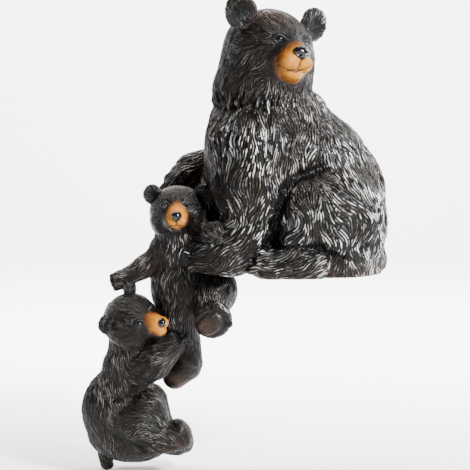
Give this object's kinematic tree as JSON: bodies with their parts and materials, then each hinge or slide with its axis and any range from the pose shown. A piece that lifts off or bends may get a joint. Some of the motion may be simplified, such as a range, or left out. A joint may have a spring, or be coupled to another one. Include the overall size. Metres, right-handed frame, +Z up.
{
  "type": "shelf sitter figurine",
  "caption": "Cast mother bear that sits on a shelf's edge and holds a cub, which hangs over the edge with a second cub on its leg.",
  "frame": {"origin": "on the flat underside of the mother bear's seat, which rests on the shelf, 50.5 mm behind the shelf's front edge", "axes": "+Z up; -X out over the shelf's edge, where the cubs hang; -Y the side that is meant to be seen"},
  "size_m": [0.2148, 0.1128, 0.3305],
  "materials": {
    "cast_resin": "black-brown painted resin with a satin clear coat and silver-grey dry-brushed fur ridges",
    "muzzle_paint": "tan brushed paint on the muzzles",
    "gloss_black_paint": "gloss black paint on the eyes and noses"
  },
  "bodies": {
    "root": {"bear_family": "cast_resin"}
  },
  "joints": []
}
